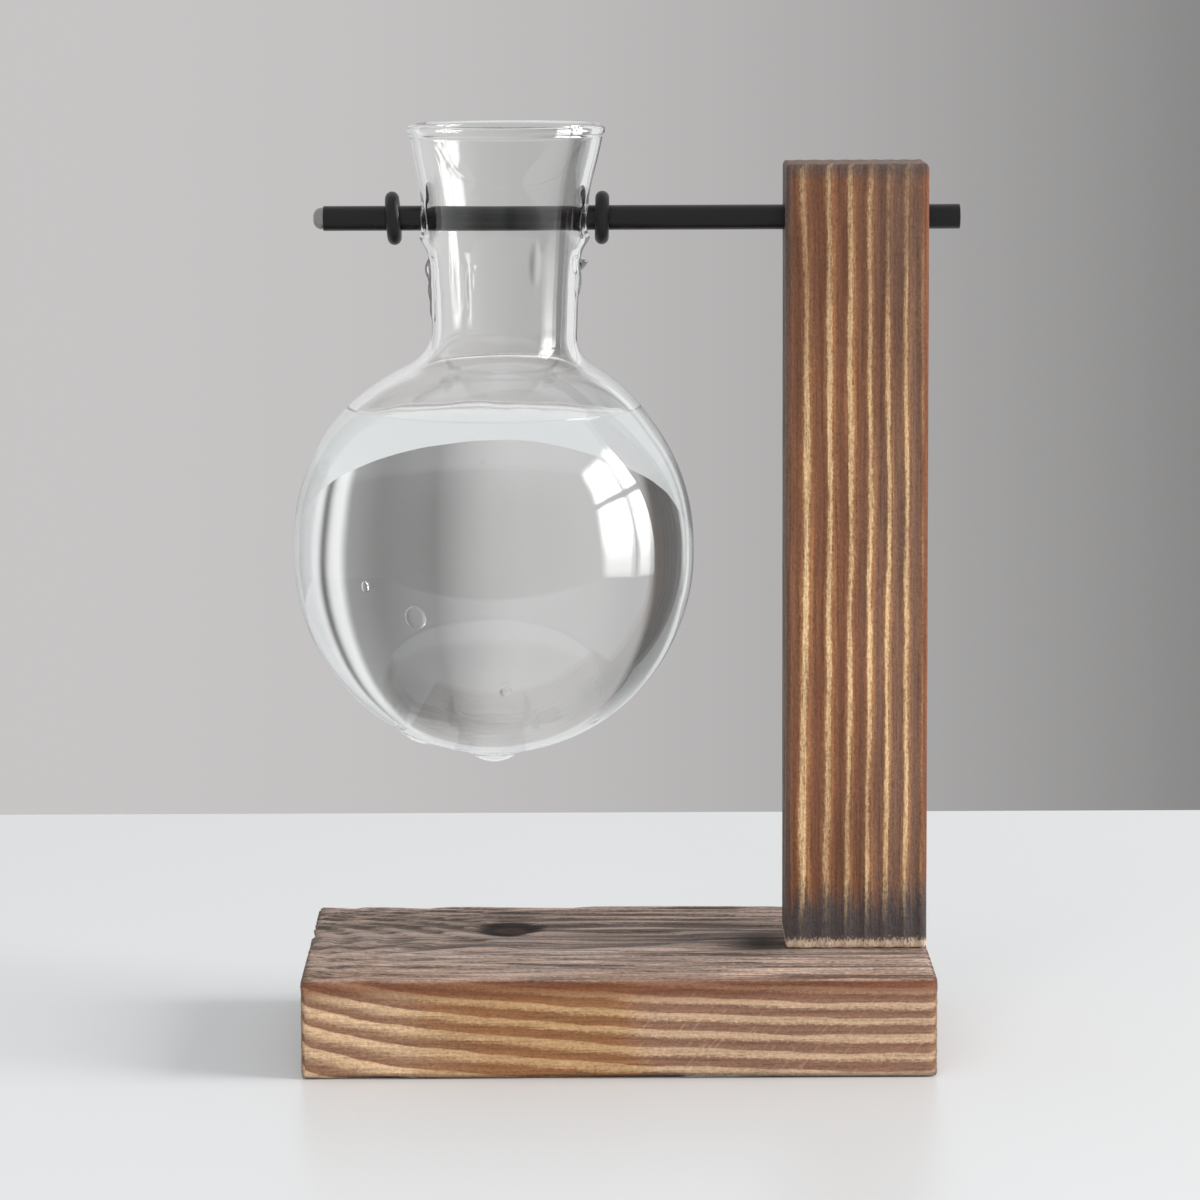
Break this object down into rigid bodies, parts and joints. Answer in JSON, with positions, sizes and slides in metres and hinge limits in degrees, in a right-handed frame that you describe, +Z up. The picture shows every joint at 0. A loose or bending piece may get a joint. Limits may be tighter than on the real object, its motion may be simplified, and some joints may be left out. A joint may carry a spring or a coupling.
{
  "type": "propagation vase",
  "caption": "Clear glass globe vase with a flared neck, hung on a black rod through a wooden post that stands on a wooden base board, with rubber rings to hold it in place.",
  "frame": {"origin": "middle of the base board's underside", "axes": "+X along the board towards the post, +Y from front to back, +Z up"},
  "size_m": [0.1338, 0.0804, 0.1859],
  "materials": {
    "base_wood": "scorched and wire-brushed softwood, dark top with golden bands on the edges",
    "post_wood": "scorched and wire-brushed softwood, red-brown with pale raised grain lines",
    "screw_zinc": "bright zinc plated",
    "rod_steel": "bare bright steel",
    "sleeve_black": "satin black",
    "ring_rubber": "matt black",
    "vase_glass": "clear, hand blown"
  },
  "bodies": {
    "stand": {"base_board": "base_wood", "upright_post": "post_wood", "post_screw_inner": "screw_zinc", "post_screw_outer": "screw_zinc"},
    "rod": {"rod_core": "rod_steel", "rod_sleeve": "sleeve_black"},
    "vase": {"vase": "vase_glass"},
    "ring_left": {"ring_left": "ring_rubber"},
    "ring_right": {"ring_right": "ring_rubber"}
  },
  "joints": [
    {"name": "rod_slide", "type": "slide", "parent": "stand", "child": "rod", "axis": [1, 0, 0], "range_m": [-0.02, 0.017]},
    {"name": "vase_swing", "type": "hinge", "parent": "rod", "child": "vase", "pos_m": [-0.0232, 0, 0.1665], "axis": [1, 0, 0], "range_deg": [-55, 55]},
    {"name": "ring_left_slide", "type": "slide", "parent": "rod", "child": "ring_left", "axis": [1, 0, 0], "range_m": [-0.012, 0.0013]},
    {"name": "ring_right_slide", "type": "slide", "parent": "rod", "child": "ring_right", "axis": [1, 0, 0], "range_m": [-0.0007, 0.016]}
  ]
}
